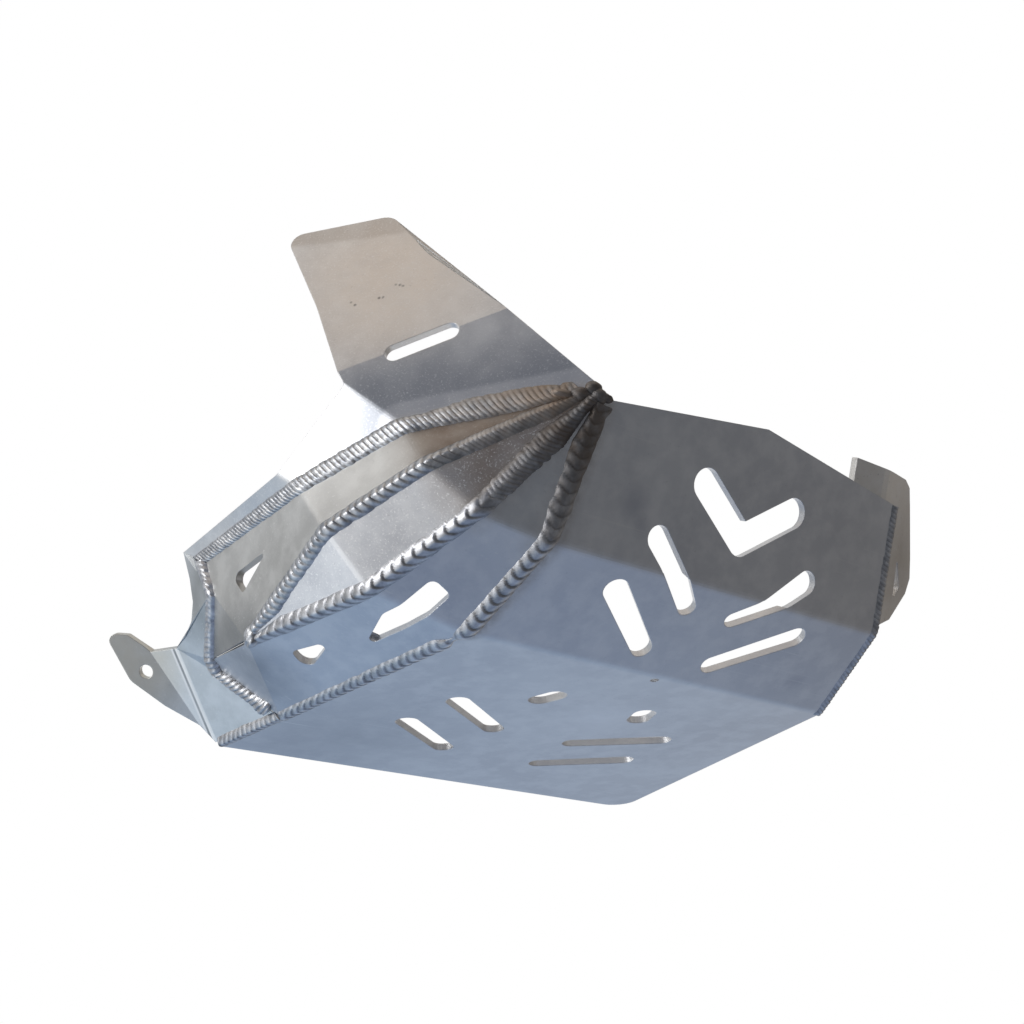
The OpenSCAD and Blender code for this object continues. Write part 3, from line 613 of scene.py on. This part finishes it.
def lump(obj, centre, radii, seed, tone=0.75):
    """A puddle of weld metal, joined into a bead's mesh. tone is its ripple value, which sets how
    much painted shade the weld material puts on it.
    """
    rng = np.random.default_rng(seed)
    waves = rng.normal(0, 1, (6, 3))
    bm = bmesh.new()
    bm.from_mesh(obj.data)
    layer = bm.verts.layers.float["ripple"]
    for v in bmesh.ops.create_icosphere(bm, subdivisions=4, radius=1.0)["verts"]:
        n = vec(*v.co)
        swing = sum(math.sin(3.5 * float(np.dot(n, w)) + 1.7 * i) for i, w in enumerate(waves))
        v.co = Vector(tuple(held(centre + n * radii * (1 + 0.05 * swing / 2)) * MM))
        v[layer] = tone + 0.2 * math.sin(9 * float(np.dot(n, waves[0])))
    for f in bm.faces:
        f.smooth = True
    bm.to_mesh(obj.data)
    bm.free()


def trimmed(line, f):
    """A line whose last piece ends at f of its length."""
    return line[:-1] + [mix(line[-2], line[-1], f)]


def fat_start(s):
    """Extra size of a bead near the rear corner, where several runs lie on each other."""
    return 0.42 * math.exp(-(s / 45.0) ** 2) + 0.2 * math.exp(-(s / 7.0) ** 2)


# length of the belly seam up to the second fold
past_fold = 65.5 + float(np.linalg.norm(fold2 - fold1))


def with_stop(s):
    """The belly seam's first run stops just past the second fold, and a new run starts there."""
    return 0.8 * fat_start(s) - 0.72 * math.exp(-((s - past_fold - 9.0) / 5.0) ** 2)


def wing_lean(s):
    """The wing's bead lies further out on the wing, most of all 34 mm along."""
    return 1 + 0.75 * math.exp(-((s - 34.0) / 30.0) ** 2)


def end_swell(s):
    """The end seam's bead starts thick and grows thinner on its upright part."""
    return 0.35 * math.exp(-((s - 3.0) / 4.0) ** 2) - 0.12 * min(1.0, max(0.0, (s - 40) / 10))


side = vec(20, 0, 0)  # from a seam to a point of the pan beside it
belly_bead = bead("belly_seam_bead", "belly_seam_weld", seam_belly, [p + side for p in seam_belly],
                  seam_lower, 5.6, 5.1, 2.0, seed=3, swell=with_stop)
for centre, radii, seed in ((vec(-102.6, 0.0, 1.6), vec(4.2, 4.0, 3.2), 11),
                            (vec(-99.2, -0.6, 1.4), vec(4.4, 2.4, 2.6), 14),
                            (vec(-104.6, -3.2, 4.2), vec(4.4, 3.6, 3.8), 12),
                            (vec(-108.6, 1.0, 6.0), vec(5.4, 3.8, 4.4), 13)):
    lump(belly_bead, centre, radii, seed)
bead("lower_seam_bead", "lower_seam_weld", trimmed(seam_lower, 0.96), trimmed(seam_belly, 0.96),
     trimmed(seam_upper, 0.96), 6.2, 5.4, 2.1, seed=4, swell=fat_start, wrinkled=(64, 2.4))
upper_bead = bead("upper_seam_bead", "upper_seam_weld", trimmed(seam_upper, 0.97),
                  trimmed(seam_lower, 0.97), trimmed(seam_wing, 0.97), 4.2, 5.2, 1.9, seed=5,
                  wrinkled=(60, 2.2), metal=warm_weld)
lump(upper_bead, seam_upper[-1] * 0.96 + seam_upper[-2] * 0.04 + vec(1.2, -1.0, 0),
     vec(3.6, 6.0, 5.2), 21, 0.9)
wing_bead = bead("wing_seam_bead", "wing_seam_weld", seam_wing, seam_upper, edge_wing,
                 2.8, 6.0, 1.5, seed=6, inside=True, lean=wing_lean, metal=warm_weld)
lump(wing_bead, vec(-113.6, 2.6, 10.4), vec(8.0, 2.4, 3.6), 22, 0.95)
stop = mix(end_foot, front, 0.95)
bead("end_plate_bead", "end_plate_weld", [end_foot, stop], [end_foot + side, stop + side],
     [end_low, mix(end_low, crease_top, 0.95)], 4.5, 4.6, 1.6, seed=7)
bead("end_seam_bead", "end_seam_weld",
     [mix(end_foot, end_knee, 0.16), end_knee, end_low, end_mid, mix(end_mid, wing_end, 0.9)],
     [front, crease_top, crease_top, crease_top, wing_tip],
     [mix(end_foot, tip, 0.3), tip, tip, tip, upper2],
     3.4, 6.0, 2.6, seed=8, inside=True, smooth_from=50, swell=end_swell)
right_side = [vec(-p[0], p[1], p[2]) for p in [corner] + soften(corner, fold1, fold2, run1)
              + soften(fold1, fold2, front, run2)]
bead("right_edge_bead", "right_edge_weld", right_side, [p + vec(0, -1, 4) for p in right_side],
     [p - side for p in right_side], 2.6, 4.2, 1.0, seed=9, least=1.9)

# ---------------------------------------------------------------- camera, as fitted to the photo
IMAGE_PX, FOCAL_PX = 1024, 1294.2
CENTRE_PX = (508.6, 504.1)
SENSOR_MM = 36
CAMERA_AT = (-0.4352, 0.0867, -0.4723)
# the image's right, down and forward directions
CAMERA_AXES = ((0.8098, -0.2532, -0.5292), (0.2409, 0.966, -0.0936), (0.535, -0.0517, 0.8433))

cam_data = bpy.data.cameras.new("camera")
cam_data.sensor_width = SENSOR_MM
cam_data.lens = SENSOR_MM * FOCAL_PX / IMAGE_PX
cam_data.shift_x = (IMAGE_PX / 2 - CENTRE_PX[0]) / IMAGE_PX
cam_data.shift_y = (CENTRE_PX[1] - IMAGE_PX / 2) / IMAGE_PX
cam_data.clip_start = 0.01
cam = bpy.data.objects.new("camera", cam_data)
bpy.context.scene.collection.objects.link(cam)
right, down, forward = CAMERA_AXES
pose = Matrix([(right[i], -down[i], -forward[i]) for i in range(3)]).normalized().to_4x4()
pose.translation = Vector(CAMERA_AT)
cam.matrix_world = pose
bpy.context.scene.camera = cam

# ---------------------------------------------------------------- floor
# white to the camera, grey in reflections
FLOOR_HALF, FLOOR_Z = 1.1, -0.9

floor_mesh = bpy.data.meshes.new("floor")
floor_mesh.from_pydata([(x * FLOOR_HALF, y * FLOOR_HALF, FLOOR_Z)
                        for x, y in ((-1, -1), (1, -1), (1, 1), (-1, 1))], [], [(0, 1, 2, 3)])
floor = bpy.data.objects.new("floor", floor_mesh)
bpy.context.scene.collection.objects.link(floor)
t = new_material("pale_floor")
co = t.node("ShaderNodeTexCoord").outputs["Object"]
floor_grey = t.blend(t.noise(co, 3.0, 3.0), (0.19, 0.195, 0.208), (0.225, 0.23, 0.242))
floor_white = t.blend(t.noise(co, 2.0, 3.0), WHITE, grey(0.985))
reflected = t.node("ShaderNodeBsdfPrincipled", Base_Color=floor_grey, Roughness=0.9)
seen = t.node("ShaderNodeEmission", Color=floor_white, Strength=1.0)
rays = t.node("ShaderNodeLightPath")
either = t.node("ShaderNodeMixShader", Fac=rays.outputs["Is Camera Ray"])
t.set(either, 1, reflected.outputs[0])
t.set(either, 2, seen.outputs[0])
floor_mesh.materials.append(t.end(either))

# ---------------------------------------------------------------- surroundings: the only light
# from straight down to straight up, as 0 to 1
SKY = [(0.35, (0.25, 0.23, 0.21)), (0.49, (0.19, 0.21, 0.25)), (0.565, (0.82, 0.72, 0.62)),
       (0.75, (0.56, 0.54, 0.51)), (1.0, (0.50, 0.53, 0.57))]
# broad soft lights and shades: direction, cosine where it starts, cosine where it is full, colour
LOBES = [
    ((0.0, 1.0, 0.0), 0.35, 0.75, (0.298, 0.385, 0.52)),
    ((-0.65, 0.74, 0.20), 0.86, 0.97, (0.44, 0.55, 0.64)),
    ((1.0, -0.05, -0.05), 0.60, 0.92, (0.24, 0.225, 0.21)),
    ((0.0, -0.10, -1.0), 0.50, 0.80, (0.21, 0.215, 0.23)),
    ((0.15, 0.78, -0.55), 0.72, 0.90, (0.226, 0.276, 0.385)),
    ((-0.80, 0.56, 0.10), 0.88, 0.97, (0.95, 0.98, 1.02)),
    ((-0.75, -0.66, -0.25), 0.80, 0.93, (0.16, 0.18, 0.22)),
    ((-0.45, -0.81, 0.38), 0.91, 0.985, (0.80, 0.71, 0.62)),
    ((-1.0, -0.10, 0.22), 0.935, 0.985, grey(3.6)),
]
BEHIND = ((0.535, -0.052, 0.843), 0.80, 0.93)  # what lies behind the object for the camera

world = bpy.data.worlds.new("studio")
bpy.context.scene.world = world
t = Tree(world, "ShaderNodeOutputWorld")
heading = t.node("ShaderNodeTexCoord").outputs["Generated"]


def lobe(direction, start, full):
    """0 where the angle's cosine is under start, 1 over full."""
    cosine = t.vector("DOT_PRODUCT", heading, tuple(unit(vec(*direction)))).outputs["Value"]
    return t.map_range(cosine, start, full, smooth=True)


split = t.node("ShaderNodeSeparateXYZ", Vector=heading)
sky = t.ramp(t.map_range(split.outputs["Z"], -1.0, 1.0), SKY)
for direction, start, full, color in LOBES:
    sky = t.blend(lobe(direction, start, full), sky, color)
studio = t.node("ShaderNodeBackground", Color=sky, Strength=1.0)
backdrop = t.node("ShaderNodeBackground", Color=(*WHITE, 1), Strength=1.0)
# white for the camera, and for reflections where it lies behind the object
rays = t.node("ShaderNodeLightPath")
mirrored = t.larger(rays.outputs["Is Glossy Ray"], rays.outputs["Is Transmission Ray"])
shown = t.larger(rays.outputs["Is Camera Ray"], t.times(mirrored, lobe(*BEHIND)))
either = t.node("ShaderNodeMixShader", Fac=shown)
t.set(either, 1, studio.outputs[0])
t.set(either, 2, backdrop.outputs[0])
t.end(either)

bpy.context.scene.view_settings.view_transform = "Standard"
